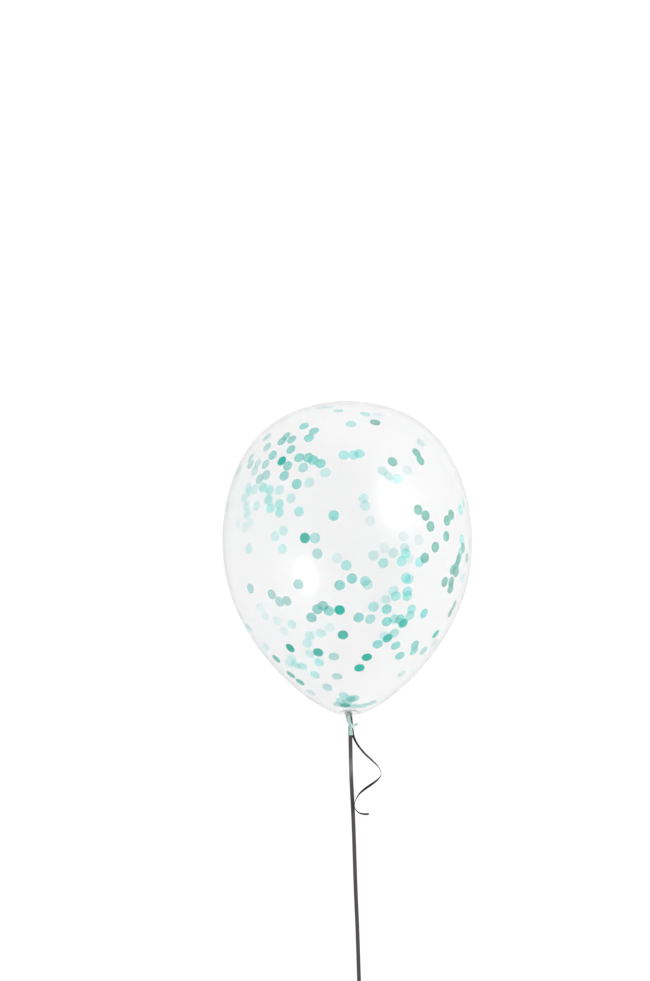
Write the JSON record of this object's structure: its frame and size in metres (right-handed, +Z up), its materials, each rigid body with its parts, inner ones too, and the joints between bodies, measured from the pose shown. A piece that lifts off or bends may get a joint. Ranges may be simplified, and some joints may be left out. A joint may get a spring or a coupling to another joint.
{
  "type": "confetti balloon",
  "caption": "Clear latex party balloon filled with teal paper confetti, tied with curling ribbon that runs out straight and ends in a knot, lying on its side.",
  "frame": {"origin": "centre of the small flat spot that the balloon rests on, on the surface", "axes": "+Y along the balloon from neck to crown, seen from above; +Z up; +X to the right of the neck when the crown points away"},
  "size_m": [0.3, 0.7439, 0.2987],
  "materials": {
    "latex": "clear, glossy, faintly milky",
    "ribbon": "satin, finely ribbed lengthwise",
    "confetti": "matt tissue"
  },
  "bodies": {
    "root": {"balloon": "latex", "ribbon_tie": "ribbon", "ribbon_run": "ribbon", "ribbon_curl": "ribbon", "ribbon_end_knot": "ribbon"}
  },
  "joints": []
}
